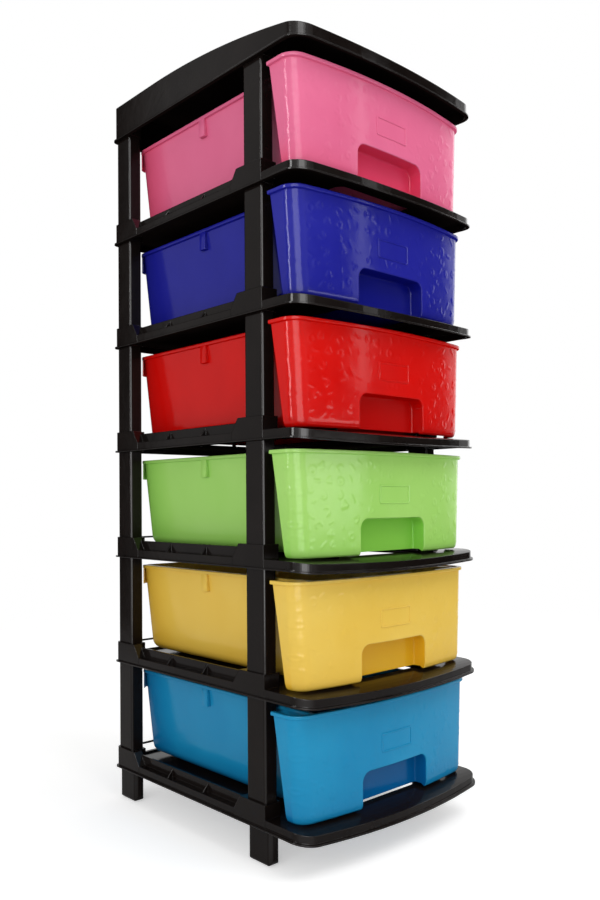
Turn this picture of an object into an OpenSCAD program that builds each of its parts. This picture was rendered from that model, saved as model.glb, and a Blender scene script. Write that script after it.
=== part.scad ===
// Plastic drawer tower: bowed shelves carried on hollow posts, with a tub drawer on each shelf.
// X runs across the front, -Y is the front, +Z is up, and the origin is on the floor at the middle.

/* [Tower] */
// Width across the flanges of the shelves
tower_w = 328; // [318:1:350]
// Depth from the back edge to the foremost point of the bowed front
tower_d = 414; // [390:1:450]
// Height from one shelf to the next
level_pitch = 150; // [148:1:180]
// Height of the lowest flange above the floor
foot_h = 44; // [25:1:90]
// How far the front edge bows out between its corners
front_bow = 15.5; // [8:0.5:24]
// Radius of the front corners
front_corner_r = 27; // [20:1:36]
// Radius of the back corners
back_corner_r = 9; // [7:1:14]
// Length over which the front edges curve down
dip_run = 45; // [30:1:60]
// How far the lower edges dip at the front
low_dip = 5.4; // [0:0.2:8]

/* [Shelves] */
// Height of the shelf skirt, up to the top of the plate
shelf_h = 11.5; // [10:0.5:15]
// How far the upper edge of a shelf dips at the front
top_dip = 6.8; // [0:0.2:8]
// Thickness of the shelf plate
plate_t = 2.5; // [2:0.1:4]
// Thickness of the skirts of the shelves and the cover
skirt_t = 2.2; // [1.6:0.1:2.3]
// How far the flange stands out from the skirt
flange_out = 3; // [2:0.1:3]
// Thickness of the flange
flange_t = 2; // [1.5:0.1:3]
// Width of the opening in the plate
opening_w = 134; // [100:1:136]
// Distance from the foremost point back to the opening in the plate
opening_setback = 45.5; // [44:0.5:80]
// Distance from the rear wall to the opening in the plate
opening_from_back = 60; // [30:1:120]
// Radius of the corners of the opening
opening_r = 12; // [4:1:30]
// Height of the side guide walls above the plate
guide_h = 12.5; // [6:0.5:14]
// Thickness of the guide walls
guide_t = 2.4; // [1.6:0.1:4]
// Distance from the flange edge in to the guide walls
guide_inset = 13; // [11:0.5:15]
// Number of ribs that brace each guide wall
wall_ribs = 2; // [0:1:4]
// Thickness of these ribs
wall_rib_t = 2; // [1.6:0.1:3]
// Height of the rail along the top of the rear wall, and of the sill below its openings
rail_h = 2.5; // [2:0.1:4]
// Width of the uprights between the openings of the rear wall
upright_w = 6; // [4:0.5:12]
// Number of openings in the rear wall
rear_openings = 3; // [2:1:5]
// Height of the two runner ribs that the drawer slides on
runner_h = 4; // [2.5:0.1:6]
// Width of a runner rib
runner_w = 4; // [3:0.1:6]
// Distance between the middles of the runner ribs
runner_spacing = 150; // [140:1:180]

/* [Posts and sockets] */
// Width of a post, across the front
post_w = 19; // [16:0.5:22]
// Depth of a post, along the side
post_d = 34; // [26:0.5:38]
// Wall of a post
post_t = 1.8; // [1.4:0.1:3]
// Radius of the upright edges of a post
post_r = 3; // [2:0.1:5]
// Distance from the flange edge in to the side of a post
post_inset_x = 5.5; // [5.5:0.1:6.5]
// Distance from the foremost point back to the front posts
front_post_setback = 84; // [80:0.5:110]
// Distance from the back edge in to the back posts
post_inset_y = 5.5; // [5.5:0.1:9]
// Height of the socket blocks above the plate
socket_h = 17; // [12:0.5:22]
// Wall of a socket block around its post
socket_wall = 2; // [1.8:0.1:4]
// Length of a socket block past its post, towards the middle of the side
socket_tail = 10; // [6:0.5:16]
// Length of the slope at the end of a socket block
socket_slope = 12; // [4:0.5:16]
// Wall of the sockets under the plate
under_socket_wall = 2; // [1.6:0.1:3]
// Clearance between a post and its socket
socket_fit = 0.2; // [0.1:0.05:0.3]
// Width of a foot, across the front
foot_w = 15; // [13:0.5:16]
// Depth of a foot, along the side
foot_d = 42; // [38:0.5:46]
// How far the middle of a foot stands in front of the middle of its post
foot_forward = 2; // [0:0.5:4]
// Radius at the lower end of a foot, seen from the side
foot_round = 10; // [6:0.5:14]
// Radius at the lower end of a foot, seen from the front
foot_edge = 5; // [2:0.5:6]
// Radius of the upright edges of a foot
foot_r = 6; // [3:0.5:6.5]

/* [Top cover] */
// Height of the cover at the back
cover_h = 48.5; // [42:0.5:60]
// Height of the cover at its foremost point
cover_front_h = 9.7; // [8:0.1:16]
// Depth of the level part of the cover, from the back edge
cover_level_d = 100; // [60:1:120]
// Thickness of the top of the cover
cover_t = 2.5; // [2:0.1:4]

/* [Drawers] */
// Height of a drawer
drawer_h = 122; // [110:0.5:124]
// Wall of a drawer
drawer_wall = 2.4; // [1.8:0.1:3]
// Gap between a runner rib and the floor of its drawer
slide_gap = 0.3; // [0.2:0.1:0.6]
// Gap between the rim of a drawer and the posts beside it
side_gap = 6; // [3:0.5:8]
// Gap between the rim of a drawer and the rear wall behind it
rear_gap = 6; // [3:0.5:14]
// How far the rim stands out from the walls
rim_out = 3.2; // [2.5:0.1:3.5]
// Height of the rim
rim_h = 4.5; // [3.5:0.1:7]
// How far each side of the body leans in, from the top to the floor
side_lean = 13; // [6:0.5:18]
// How far the back of the body leans in
back_lean = 2; // [1:0.5:10]
// Radius of the back corners of the rim
body_corner_r = 12; // [9:1:30]
// Radius of the lower edge of the body
floor_edge = 14; // [6:0.5:18]
// Height of the lip that hangs from the rim at the back
lip_h = 27; // [15:1:40]
// Length of the tab under the rim on each side
tab_w = 12; // [8:1:30]
// Distance from the back of the rim to the tabs
tab_from_back = 150; // [110:1:170]

/* [Drawer head] */
// Distance from the foremost point of a shelf back to the rim of its drawer
head_setback = 17.5; // [15:0.5:30]
// Distance from the flange edge in to the rim of the head
head_side_inset = 5; // [3:0.5:8]
// Radius of the front corners of the rim
head_corner_r = 23; // [16:1:30]
// How far each side of the head leans in, from the top to the lower edge
head_side_lean = 6.5; // [3:0.5:9]
// How far the front of the head leans in
head_front_lean = 0.5; // [0:0.5:5]
// Gap between the rim of the head and the front posts behind it
wing_gap = 10.5; // [4:0.5:16]
// How far the wings end in front of the rim above them
wing_back = 1.5; // [1:0.5:16]
// How much further forward the wings end at the lower edge
wing_slope = 14; // [6:0.5:22]

/* [Handle] */
// Width of the handle opening
slot_w = 117; // [90:1:130]
// Height of the handle opening above the floor of the drawer
slot_h = 41; // [30:0.5:50]
// Radius of the upper corners of the handle opening
slot_r = 12; // [5:0.5:15]
// Depth of the handle recess behind the foremost point of the rim
slot_d = 24.5; // [18:0.5:32]
// Width of the raised label frame
label_w = 55.5; // [40:0.5:80]
// Height of the raised label frame
label_h = 23.5; // [14:0.5:28]
// Height of the label frame above the handle opening
label_up = 17.5; // [8:0.5:24]
// Width of the border of the label frame
label_border = 2; // [1.2:0.1:3]
// How far the label frame stands out
label_out = 0.8; // [0.5:0.1:1.5]

/* [Hidden] */
levels = 6;
sides = ["left", "right"];
ends = ["front", "back"];
corners = [for (e = ends) for (s = sides) str(e, "_", s)];
numbers = [for (n = [1:levels]) n];

black = [0.13, 0.12, 0.12];
drawer_colors = ["deepskyblue", "gold", "lightgreen", "red", "mediumblue", "hotpink"];
over = 1;
round_fn = 96;
arch_steps = 24;
dip_steps = 6;
floor_steps = 4;
arc_steps = 12;
slice_t = 0.2;
right_angle = 90;

half_w = tower_w / 2;
back_y = tower_d / 2;
front_y = -tower_d / 2;
bow_r = (half_w * half_w + front_bow * front_bow) / (2 * front_bow);
bow_y = front_y + bow_r;

// The posts, and the sockets that hold them
post_x = half_w - post_inset_x - post_w / 2;
post_inner_x = post_x - post_w / 2;
front_post_y = front_y + front_post_setback + post_d / 2;
back_post_y = back_y - post_inset_y - post_d / 2;
post_seat = shelf_h - plate_t;
post_len = level_pitch - plate_t;
skirt_in = flange_out + skirt_t;
front_tail_y = front_post_y + post_d / 2 + socket_tail;
back_tail_y = back_post_y - post_d / 2 - socket_tail;
socket_top = shelf_h + socket_h;
socket_inner_x = post_inner_x - socket_wall;
guide_x = half_w - guide_inset;
rear_wall_y = back_y - guide_inset;
opening_y0 = front_y + opening_setback;
opening_y1 = rear_wall_y - opening_from_back;

// The drawer: its own z starts at its floor
drawer_z = shelf_h + runner_h + slide_gap;
body_half = post_inner_x - side_gap;
body_back = rear_wall_y - guide_t - rear_gap;
head_half = half_w - head_side_inset;
head_front = front_y + head_setback;
wing_y = front_y + front_post_setback - wing_gap;
lip_t = 1.8;
socket_rise = 0.5;
socket_proud = 0.4;
lip_in = 0.6;
rim_in = 0.7;
head_drop = 2.5;
wall_stop = 1.5;
wall_top = drawer_h - wall_stop;
label_z = slot_h + label_up;

// The cover: its arched top is part of a large circle whose top is where the level part ends
arch_y = back_y - cover_level_d;
arch_drop = cover_h - cover_front_h;
arch_run = arch_y - front_y;
arch_r = (arch_run * arch_run + arch_drop * arch_drop) / (2 * arch_drop);

// Lines in side view, from the back to the front, that curve down over the last stretch
dip_ys = concat([back_y + over], [for (i = [0:dip_steps]) front_y + dip_run - (dip_run + over) * i / dip_steps]);
function dipped(up, drop) =
    [for (y = dip_ys) [y, up - drop * pow(max(0, front_y + dip_run - y) / dip_run, 2)]];
function reversed(list) = [for (i = [len(list) - 1:-1:0]) list[i]];
function level_z(n) = foot_h + (n - 1) * level_pitch;
function corner_x(i) = (i % 2 == 0 ? -1 : 1) * post_x;
function corner_y(i) = i < 2 ? front_post_y : back_post_y;

function arc(cx, cy, r, a0, a1, first = 0) =
    [for (i = [first:arc_steps]) let (a = a0 + (a1 - a0) * i / arc_steps) [cx + r * cos(a), cy + r * sin(a)]];

// Front of an outline, from the left side to the right: bowed about (0, bow_y), with a rounded
// corner at each end, all drawn in by inset
function bowed_front(half, front, corner_r, inset = 0) =
    let (big_r = bow_y - front, cx = half - corner_r, r = corner_r - inset,
        cy = bow_y - sqrt(pow(big_r - corner_r, 2) - cx * cx), turn = atan2(cx, bow_y - cy))
    concat(
        arc(-cx, cy, -r, 0, right_angle - turn),
        arc(0, bow_y, big_r - inset, -right_angle - turn, -right_angle + turn, 1),
        arc(cx, cy, r, -right_angle + turn, 0, 1)
    );

// Back of an outline, from the right side to the left
function rounded_back(half, back, corner_r, inset = 0) =
    let (cx = half - corner_r, cy = back - corner_r, r = corner_r - inset)
    concat(arc(cx, cy, r, 0, right_angle), arc(-cx, cy, r, right_angle, 2 * right_angle));

module tower_plan(inset = 0) {
    polygon(concat(
        bowed_front(half_w, front_y, front_corner_r, inset),
        rounded_back(half_w, back_y, back_corner_r, inset)
    ));
}

module rounded_rect(w, d, r, fn = round_fn) {
    square([w - 2 * r, d], center = true);
    square([w, d - 2 * r], center = true);
    for (sx = [-1, 1]) for (sy = [-1, 1])
        translate([sx * (w / 2 - r), sy * (d / 2 - r)]) circle(r, $fn = fn);
}

module post_section(grow = 0) {
    rounded_rect(post_w + 2 * grow, post_d + 2 * grow, post_r + grow);
}

module at_corners() {
    for (i = [0:3]) translate([corner_x(i), corner_y(i), 0]) children();
}

// Side view extruded across the whole width
module across() {
    translate([-half_w, 0, 0]) rotate([90, 0, 90]) linear_extrude(tower_w) children();
}

// Everything between two lines in side view
module between(low, top) {
    across() polygon(concat(low, reversed(top)));
}

// Solid with the plan of the tower drawn in by inset, between two lines in side view
module layer(inset, low, top) {
    intersection() {
        translate([0, 0, -low_dip - 3 * over]) linear_extrude(cover_h + low_dip + 4 * over)
            tower_plan(inset);
        between(low, top);
    }
}

module flange() {
    layer(0, dipped(0, low_dip), dipped(flange_t, low_dip));
}

// Closed lower sockets that slip over the upper ends of the posts
module under_sockets(h) {
    translate([0, 0, socket_rise]) at_corners()
        linear_extrude(h - socket_rise) post_section(socket_fit + under_socket_wall);
}

// Side view of a socket block on the shelf, with its slope towards the middle of the side
module socket_profile(outer_y, tail_y) {
    slope_y = tail_y + sign(tail_y - outer_y) * socket_slope;
    polygon([[outer_y, flange_t / 2], [outer_y, socket_top], [tail_y, socket_top], [slope_y, shelf_h],
        [slope_y, flange_t / 2]]);
}

// Side view extruded from inner_x out to one side of the tower
module outwards(side, inner_x) {
    translate([side > 0 ? inner_x : -half_w, 0, 0]) rotate([90, 0, 90])
        linear_extrude(half_w - inner_x) children();
}

// A socket block is as wide as its post needs; its tail is only as wide as up to the guide wall
module socket_block(side, outer_y, tail_y) {
    inner_y = tail_y - sign(tail_y - outer_y) * (socket_tail - socket_wall);
    outwards(side, socket_inner_x) polygon([
        [outer_y, flange_t / 2], [outer_y, socket_top], [inner_y, socket_top], [inner_y, flange_t / 2]
    ]);
    outwards(side, guide_x - guide_t) socket_profile(outer_y, tail_y);
}

module shelf_blocks() {
    intersection() {
        linear_extrude(socket_top + over) tower_plan(flange_out - socket_proud);
        for (s = [-1, 1]) {
            socket_block(s, front_post_y - post_d / 2 - socket_wall, front_tail_y);
            socket_block(s, back_y, back_tail_y);
        }
    }
}

module guide_walls() {
    for (s = [-1, 1])
        translate([s * (guide_x - guide_t / 2) - guide_t / 2, front_tail_y, post_seat + plate_t / 2])
            cube([guide_t, back_tail_y - front_tail_y, guide_h + plate_t / 2]);
}

// Triangular ribs outside the guide walls
module wall_braces() {
    step = (back_tail_y - front_tail_y) / (wall_ribs + 1);
    low_z = shelf_h - plate_t / 2;
    for (s = [-1, 1]) for (i = [1:1:wall_ribs])
        translate([0, front_tail_y + i * step + wall_rib_t / 2, 0]) rotate([90, 0, 0])
            linear_extrude(wall_rib_t) polygon([
                [s * (guide_x - guide_t / 2), low_z], [s * (half_w - flange_out - over), low_z],
                [s * (guide_x - guide_t / 2), shelf_h + guide_h - over / 2]
            ]);
}

// The opening in the plate, between the runner ribs
module plate_opening() {
    translate([0, (opening_y0 + opening_y1) / 2, post_seat - over])
        linear_extrude(plate_t + 2 * over) rounded_rect(opening_w, opening_y1 - opening_y0, opening_r);
}

// Wall behind the drawer: a rail on uprights, with openings between them
module rear_wall() {
    step = (2 * socket_inner_x + upright_w) / rear_openings;
    difference() {
        translate([-post_inner_x, rear_wall_y - guide_t, post_seat + plate_t / 2])
            cube([2 * post_inner_x, guide_t, socket_h + plate_t / 2]);
        for (i = [0:rear_openings - 1])
            translate([i * step - socket_inner_x, rear_wall_y - guide_t - over, shelf_h + rail_h])
                cube([step - upright_w, guide_t + 2 * over, socket_h - 2 * rail_h]);
    }
}

module runner_ribs() {
    y0 = front_y + head_setback + slot_d + 2 * drawer_wall;
    for (s = [-1, 1])
        translate([s * runner_spacing / 2 - runner_w / 2, y0, shelf_h - plate_t / 2])
            cube([runner_w, rear_wall_y - y0, runner_h + plate_t / 2]);
}

module shelf_body() {
    difference() {
        union() {
            flange();
            layer(flange_out, dipped(flange_t / 2, low_dip), dipped(shelf_h, top_dip));
            shelf_blocks();
        }
        layer(skirt_in, dipped(-over, low_dip), dipped(post_seat, top_dip));
    }
    guide_walls();
    wall_braces();
    rear_wall();
    under_sockets(shelf_h - plate_t / 2);
    runner_ribs();
}

module shelf(n) {
    color(black) translate([0, 0, level_z(n)]) difference() {
        shelf_body();
        plate_opening();
        translate([0, 0, shelf_h]) at_corners() linear_extrude(socket_h + over) post_section(socket_fit);
        translate([0, 0, -over]) at_corners() linear_extrude(post_seat + over) post_section(socket_fit);
    }
}

// A post stands on the plate of its shelf and ends under the plate of the next one
module post(i, n) {
    color(black) translate([corner_x(i), corner_y(i), level_z(n) + shelf_h])
        linear_extrude(post_len) difference() {
            post_section();
            post_section(-post_t);
        }
}

// A foot is longer than its post and has rounded edges at the floor; the stem on top of it fills
// the lower socket of the bottom shelf
module foot(i) {
    color(black) translate([corner_x(i), corner_y(i), 0]) {
        translate([0, -foot_forward, 0]) foot_block(foot_h);
        translate([0, 0, foot_h]) linear_extrude(post_seat) post_section();
    }
}

module foot_block(h) {
    intersection() {
        linear_extrude(h) rounded_rect(foot_w, foot_d, foot_r);
        rotate([90, 0, 90]) translate([0, 0, -foot_w]) linear_extrude(2 * foot_w)
            foot_profile(foot_d, h, foot_round);
        rotate([90, 0, 0]) translate([0, 0, -foot_d]) linear_extrude(2 * foot_d)
            foot_profile(foot_w, h, foot_edge);
    }
}

// View of a foot with its lower corners rounded by r
module foot_profile(w, h, r) {
    translate([-w / 2, r]) square([w, h - r]);
    translate([-w / 2 + r, 0]) square([w - 2 * r, h]);
    for (s = [-1, 1]) translate([s * (w / 2 - r), r]) circle(r, $fn = round_fn);
}

// Line of the cover in side view: level at the back, then falling along the arch to the front
function arched(drop) = concat(
    [[back_y + over, cover_h - drop]],
    [for (i = [0:arch_steps])
        let (y = arch_y - (arch_run + over) * i / arch_steps, r = arch_r - drop)
        [y, cover_h - arch_r + sqrt(r * r - pow(y - arch_y, 2))]]
);

// Sockets under the cover: a ledge stops the post, and the space above it opens to the middle
module cover_sockets() {
    ledge_top = post_seat + plate_t;
    intersection() {
        between(dipped(0, low_dip), arched(cover_t / 2));
        difference() {
            under_sockets(cover_h);
            translate([0, 0, ledge_top]) at_corners() linear_extrude(cover_h) post_section(socket_fit);
            for (s = [-1, 1]) for (y = [front_post_y, back_post_y])
                translate([s * post_inner_x - post_r, y - post_d / 2 + post_r, ledge_top])
                    cube([2 * post_r, post_d - 2 * post_r, cover_h]);
        }
    }
}

module top_cover() {
    color(black) translate([0, 0, level_z(levels + 1)]) difference() {
        union() {
            difference() {
                union() {
                    flange();
                    layer(flange_out, dipped(flange_t / 2, low_dip), arched(0));
                }
                layer(skirt_in, dipped(-over, low_dip), arched(cover_t));
            }
            cover_sockets();
        }
        at_corners() translate([0, 0, -over]) linear_extrude(post_seat + over) post_section(socket_fit);
    }
}

// Outline of the drawer head, running straight back
function head_outline(half, front, r) =
    concat(bowed_front(half, front, r), [[half, tower_d], [-half, tower_d]]);

// Outline of the drawer body, running straight forward
function body_outline(half, back, r) =
    concat([[half, -tower_d]], rounded_back(half, back, r), [[-half, -tower_d]]);

// One level slice of the drawer head at height z, where grow is positive outwards
module head_slice(z, grow) {
    low = 1 - z / drawer_h;
    lean_x = head_side_lean * low + rim_out - grow;
    lean_y = head_front_lean * low + rim_out - grow;
    translate([0, 0, z]) linear_extrude(slice_t)
        polygon(head_outline(head_half - lean_x, head_front + lean_y, head_corner_r - rim_out + grow));
}

module head_prism(grow = 0, z0 = -head_drop, z1 = wall_top) {
    hull() {
        head_slice(z0, grow);
        head_slice(z1, grow);
    }
}

// One level slice of the drawer body at height z, drawn in by inset
module body_slice(z, inset) {
    low = 1 - z / drawer_h;
    half = body_half - rim_out - side_lean * low - inset;
    back = body_back - rim_out - back_lean * low - inset;
    r = max(body_corner_r - rim_out - inset, slice_t);
    translate([0, 0, z]) linear_extrude(slice_t) polygon(body_outline(half, back, r));
}

module body_prism(floor_z, inset, z1) {
    r = floor_edge - inset;
    hull() {
        for (i = [0:floor_steps]) {
            a = 90 * i / floor_steps;
            body_slice(floor_z + r * (1 - cos(a)), inset + r * (1 - sin(a)));
        }
        body_slice(z1, inset);
    }
}

// Floor, sides and back of the drawer, which end inside the front wall
module body_shell() {
    difference() {
        intersection() {
            body_prism(0, 0, wall_top - over);
            head_prism(-drawer_wall / 2, -over, drawer_h);
        }
        body_prism(drawer_wall, drawer_wall, drawer_h);
    }
}

// Front wall with its two wings, which end on a slope in front of the posts
module head_shell() {
    difference() {
        intersection() {
            head_prism();
            translate([-half_w, 0, 0]) rotate([90, 0, 90]) linear_extrude(tower_w) polygon([
                [front_y, -over - head_drop], [front_y, drawer_h + over], [wing_y, drawer_h + over],
                [wing_y, drawer_h - rim_h], [wing_y - wing_back, drawer_h - rim_h],
                [wing_y - wing_back - wing_slope, -over - head_drop]
            ]);
        }
        head_prism(-drawer_wall, -over - head_drop, drawer_h);
    }
}

module head_plan(inset = 0) {
    polygon(head_outline(head_half - inset, head_front + inset, head_corner_r - inset));
}

module body_plan(inset = 0) {
    polygon(body_outline(body_half - inset, body_back - inset, body_corner_r - inset));
}

// Rim of the head and the body, left open between each wing and the body
module rim() {
    wall_in = rim_out + drawer_wall + rim_in;
    translate([0, 0, drawer_h - rim_h]) linear_extrude(rim_h) difference() {
        intersection() {
            head_plan();
            union() {
                translate([-half_w, front_y]) square([tower_w, wing_y - front_y]);
                body_plan();
            }
        }
        intersection() {
            head_plan(wall_in);
            body_plan(wall_in);
        }
        difference() {
            head_plan(wall_in);
            body_plan();
        }
    }
}

// Lip that hangs from the rim around the back of the drawer
module back_lip() {
    translate([0, 0, drawer_h - lip_h]) linear_extrude(lip_h - rim_h / 2) intersection() {
        difference() {
            body_plan(lip_in);
            body_plan(lip_in + lip_t);
        }
        translate([-half_w, body_back - body_corner_r / 2]) square([tower_w, tower_d]);
    }
}

// Tab under the rim at each side, from the rim edge in to the middle of the wall
module side_tabs() {
    low_z = drawer_h - lip_h;
    top_z = drawer_h - rim_h / 2 - slice_t;
    out_x = body_half - lip_in;
    for (s = [-1, 1]) scale([s, 1, 1]) hull() {
        for (z = [low_z, top_z]) {
            in_x = body_half - rim_out - drawer_wall / 2 - side_lean * (1 - z / drawer_h);
            translate([in_x, body_back - tab_from_back - tab_w, z]) cube([out_x - in_x, tab_w, slice_t]);
        }
    }
}

// Arch seen from the front, open below z0
module slot_profile(grow, z0) {
    w = slot_w / 2 + grow;
    h = slot_h + grow;
    r = slot_r + grow;
    polygon(concat([[w, z0]], arc(w - r, h - r, r, 0, right_angle),
        arc(r - w, h - r, r, right_angle, 2 * right_angle), [[-w, z0]]));
}

module slot_prism(grow, z0, depth) {
    translate([0, head_front + depth, 0]) rotate([90, 0, 0]) linear_extrude(depth + over)
        slot_profile(grow, z0);
}

module handle_recess() {
    intersection() {
        slot_prism(drawer_wall, drawer_wall / 2, slot_d + drawer_wall);
        head_prism(-drawer_wall / 3, -over, drawer_h);
    }
}

module label_frame() {
    intersection() {
        head_prism(label_out, 0, drawer_h);
        translate([0, head_front + rim_out + head_corner_r, label_z + label_h / 2])
            rotate([90, 0, 0]) linear_extrude(2 * head_corner_r) difference() {
                square([label_w, label_h], center = true);
                square([label_w - 2 * label_border, label_h - 2 * label_border], center = true);
            }
    }
}

module drawer(n) {
    color(drawer_colors[n - 1]) translate([0, 0, level_z(n) + drawer_z]) difference() {
        union() {
            body_shell();
            head_shell();
            rim();
            back_lip();
            side_tabs();
            handle_recess();
            difference() {
                label_frame();
                head_prism(-drawer_wall * 2 / 3, -over, drawer_h);
            }
        }
        slot_prism(0, -over - head_drop, slot_d);
    }
}

top_cover();
for (n = numbers) shelf(n);
for (i = [0:3]) foot(i);
for (n = numbers) for (i = [0:3])
    post(i, n);
for (n = numbers) drawer(n);
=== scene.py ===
"""Looks of the plastic drawer tower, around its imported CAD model.

Lengths named in millimetres carry MM; everything handed to Blender is in metres. The front of the
tower faces -Y, and each drawer is built once, with its floor at z = 0, then set on its shelf.
"""

import math
import random

import bmesh
import bpy
from mathutils import Matrix, Vector


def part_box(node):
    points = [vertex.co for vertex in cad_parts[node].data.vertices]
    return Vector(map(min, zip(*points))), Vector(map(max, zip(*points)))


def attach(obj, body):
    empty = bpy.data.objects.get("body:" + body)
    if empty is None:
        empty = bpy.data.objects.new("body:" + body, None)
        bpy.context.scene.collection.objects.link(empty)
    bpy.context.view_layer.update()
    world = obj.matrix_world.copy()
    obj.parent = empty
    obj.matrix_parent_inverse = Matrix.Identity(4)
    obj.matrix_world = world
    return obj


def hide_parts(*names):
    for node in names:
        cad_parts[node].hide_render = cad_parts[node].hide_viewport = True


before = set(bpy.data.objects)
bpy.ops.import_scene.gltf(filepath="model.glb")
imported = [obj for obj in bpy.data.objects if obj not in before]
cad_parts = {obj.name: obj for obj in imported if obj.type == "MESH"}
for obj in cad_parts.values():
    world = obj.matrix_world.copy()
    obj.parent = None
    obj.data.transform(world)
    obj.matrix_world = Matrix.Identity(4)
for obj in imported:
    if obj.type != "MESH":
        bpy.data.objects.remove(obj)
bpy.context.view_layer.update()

MM = 0.001

# ---------------------------------------------------------------- sizes, as in the CAD source
SHELF_LO, SHELF_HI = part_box("shelf_1")
DRAWER_LO, DRAWER_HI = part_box("drawer_1")
HALF_W = SHELF_HI.x
FRONT_Y = SHELF_LO.y
DRAWER_H = 122 * MM
FRONT_BOW = 15.5 * MM
WALL = 2.4 * MM
# Rolled rim: its reach outside the wall, its height, its reach inside the wall and its edge radius
RIM_OUT = 3.2 * MM
RIM_H = 4.5 * MM
RIM_IN = 0.7 * MM
RIM_R = 1.1 * MM
# How far down inside the rim the lip and the tabs begin
RIM_HOLD = RIM_H * 0.6
# Head of the drawer: the bowed front wall with its two wings
HEAD_HALF = DRAWER_HI.x
HEAD_FRONT = DRAWER_LO.y
HEAD_CORNER_R = 23 * MM
HEAD_SIDE_LEAN = 6.5 * MM
HEAD_FRONT_LEAN = 0.5 * MM
HEAD_DROP = 2.5 * MM
HEAD_TOP = DRAWER_H - 1.5 * MM
HEAD_EDGE = 0.7 * MM
# Tub behind the head
BODY_HALF = 133.5 * MM
BODY_BACK = DRAWER_HI.y
BODY_CORNER_R = 12 * MM
BODY_SIDE_LEAN = 13 * MM
BODY_BACK_LEAN = 2 * MM
BODY_TOP = DRAWER_H - 2.5 * MM
FLOOR_EDGE = 14 * MM
FLOOR_CORNER_R = 5 * MM
# How far the tub reaches into the front wall, and how far behind the front its rim begins
JOIN = 1.4 * MM
BODY_RIM_START = 14.5 * MM
# Free ends of the wings
WING_Y = FRONT_Y + 73.5 * MM
WING_BACK = 1.5 * MM
WING_SLOPE = 14 * MM
# Lip around the back, and tabs at the sides
LIP_H = 27 * MM
LIP_T = 1.8 * MM
LIP_INSET = 0.6 * MM
LIP_EDGE_R = 0.6 * MM
LIP_REACH = BODY_CORNER_R / 2 + 3 * MM
TAB_W = 12 * MM
TAB_FROM_BACK = 150 * MM
TAB_EDGE = 0.6 * MM
# Handle recess, open below
SLOT_HALF = 58.5 * MM
SLOT_H = 41 * MM
SLOT_R = 12 * MM
SLOT_D = 24.5 * MM
SLOT_FILLET = 1.3 * MM
SLOT_BACK_R = 2.2 * MM
# Label field and its raised border
LABEL_W = 55.5 * MM
LABEL_H = 23.5 * MM
LABEL_Z = SLOT_H + 17.5 * MM
LABEL_R = 1.5 * MM
LABEL_BORDER = 2.3 * MM
LABEL_PROUD = 0.9 * MM
LABEL_SUNK = 0.6 * MM

# The bow of the front is one arc about x = 0, y = BOW_Y, up to where the arc of its corner begins
BOW_R = (HALF_W ** 2 + FRONT_BOW ** 2) / (2 * FRONT_BOW)
BOW_Y = FRONT_Y + BOW_R
TANGENT_X = 139.2 * MM


# ---------------------------------------------------------------- outlines in plan
CORNER_STEPS = 14


def head_half_outline(z, grow, columns, side_steps, y_end):
    """Right half of the head's outline at height z, from x = 0 to the end of the wing."""
    low = 1 - z / DRAWER_H
    half = HEAD_HALF - RIM_OUT - HEAD_SIDE_LEAN * low + grow
    front = HEAD_FRONT + RIM_OUT + HEAD_FRONT_LEAN * low - grow
    r = HEAD_CORNER_R - RIM_OUT + grow
    big_r = BOW_Y - front
    cx = half - r
    cy = BOW_Y - math.sqrt((big_r - r) ** 2 - cx * cx)
    turn = math.atan2(cx, BOW_Y - cy)
    tangent_x = big_r * math.sin(turn)
    points = []
    last = columns[-1]
    for x in columns:
        blend = max(0.0, (x - SLOT_EDGE) / (last - SLOT_EDGE))
        px = x + (tangent_x - last) * blend
        points.append((px, BOW_Y - math.sqrt(big_r ** 2 - px ** 2)))
    for i in range(1, CORNER_STEPS + 1):
        a = -math.pi / 2 + turn + (math.pi / 2 - turn) * i / CORNER_STEPS
        points.append((cx + r * math.cos(a), cy + r * math.sin(a)))
    for i in range(1, side_steps + 1):
        points.append((half, cy + (y_end - cy) * i / side_steps))
    return points


def mirrored(half):
    """Whole outline, from the left end over x = 0 to the right end."""
    return [(-x, y) for x, y in reversed(half[1:])] + half


def body_outline(half, back, r, front, steps=12):
    """Open outline of the tub, from its left front end around the back to its right front end."""
    cx, cy = half - r, back - r
    run = [(half, front + (cy - front) * i / 6) for i in range(6)]
    run += [(cx + r * math.cos(a), cy + r * math.sin(a))
            for a in (math.pi / 2 * i / steps for i in range(steps + 1))]
    run += [(cx * (1 - t), back) for t in (0.25, 0.5, 0.75, 1)]
    return [(-x, y) for x, y in run[:-1]] + [(x, y) for x, y in reversed(run)]


def rim_outline(inset, front):
    """Outline of the tub's rim, drawn in by inset, open at the front."""
    return body_outline(BODY_HALF - inset, BODY_BACK - inset, BODY_CORNER_R - inset, front)


# ---------------------------------------------------------------- mesh helpers
def new_object(name, data):
    obj = bpy.data.objects.new(name, data)
    bpy.context.scene.collection.objects.link(obj)
    return obj


def mesh_from(verts, faces, name="part"):
    mesh = bpy.data.meshes.new(name)
    mesh.from_pydata([tuple(v) for v in verts], [], faces)
    mesh.validate()
    return mesh


def evaluated(mesh, *modifiers):
    """The mesh after modifiers, each given as (type, {settings})."""
    obj = new_object("scratch", mesh)
    for kind, settings in modifiers:
        mod = obj.modifiers.new(kind, kind)
        for key, value in settings.items():
            setattr(mod, key, value)
    graph = bpy.context.evaluated_depsgraph_get()
    result = bpy.data.meshes.new_from_object(obj.evaluated_get(graph))
    bpy.data.objects.remove(obj)
    return result


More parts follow.
